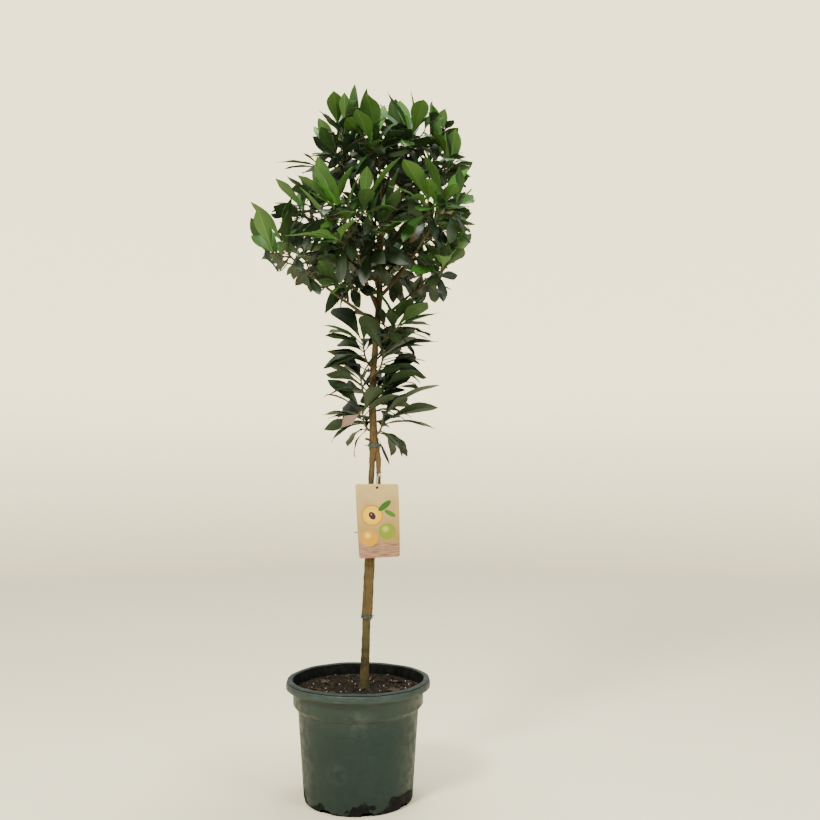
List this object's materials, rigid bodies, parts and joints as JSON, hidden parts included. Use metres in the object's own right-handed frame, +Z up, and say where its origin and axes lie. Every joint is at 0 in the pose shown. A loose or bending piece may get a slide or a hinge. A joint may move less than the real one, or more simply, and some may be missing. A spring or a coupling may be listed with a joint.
{
  "type": "potted lucuma tree",
  "caption": "Young grafted lucuma tree in a round plastic nursery pot: bare slim trunk, airy round crown of upright leaf rosettes, and a hanging fruit card.",
  "frame": {"origin": "middle of the pot's flat underside, at floor level", "axes": "+Z up along the trunk, -Y towards the front that the card faces, +X the tree's right side seen from the front"},
  "size_m": [0.5617, 0.5438, 1.8297],
  "materials": {
    "pot_plastic": "satin",
    "soil": "matte",
    "trunk_bark": "matte",
    "second_stem_bark": "matte",
    "bough_bark": "matte",
    "foliage": "satin",
    "card_print": "satin",
    "string": "matte",
    "tie_film": "satin"
  },
  "bodies": {
    "root": {"bough_back": "bough_bark", "bough_back_left": "bough_bark", "bough_back_right": "bough_bark", "bough_far_left": "bough_bark", "bough_front_left": "bough_bark", "bough_front_right": "bough_bark", "bough_left_upper": "bough_bark", "bough_right_low": "bough_bark", "bough_right_upper": "bough_bark", "bough_top_back": "bough_bark", "bough_top_far_right": "bough_bark", "bough_top_left": "bough_bark", "bough_top_left_low": "bough_bark", "bough_top_right": "bough_bark", "card": "card_print", "card_string": "string", "leaves_back": "foliage", "leaves_back_left": "foliage", "leaves_back_right": "foliage", "leaves_centre_back": "foliage", "leaves_centre_front": "foliage", "leaves_centre_left": "foliage", "leaves_centre_right": "foliage", "leaves_far_left": "foliage", "leaves_front_left": "foliage", "leaves_front_right": "foliage", "leaves_left_upper": "foliage", "leaves_low_back_1": "foliage", "leaves_low_back_2": "foliage", "leaves_low_left_1": "foliage", "leaves_low_left_2": "foliage", "leaves_low_left_3": "foliage", "leaves_low_right_1": "foliage", "leaves_low_right_2": "foliage", "leaves_low_right_3": "foliage", "leaves_right_low": "foliage", "leaves_right_under": "foliage", "leaves_right_upper": "foliage", "leaves_top_back": "foliage", "leaves_top_centre": "foliage", "leaves_top_far_right": "foliage", "leaves_top_left": "foliage", "leaves_top_left_low": "foliage", "leaves_top_right": "foliage", "pot": "pot_plastic", "second_stem": "second_stem_bark", "soil": "soil", "tie_lower": "tie_film", "tie_middle": "tie_film", "tie_upper": "tie_film", "trunk": "trunk_bark"}
  },
  "joints": []
}
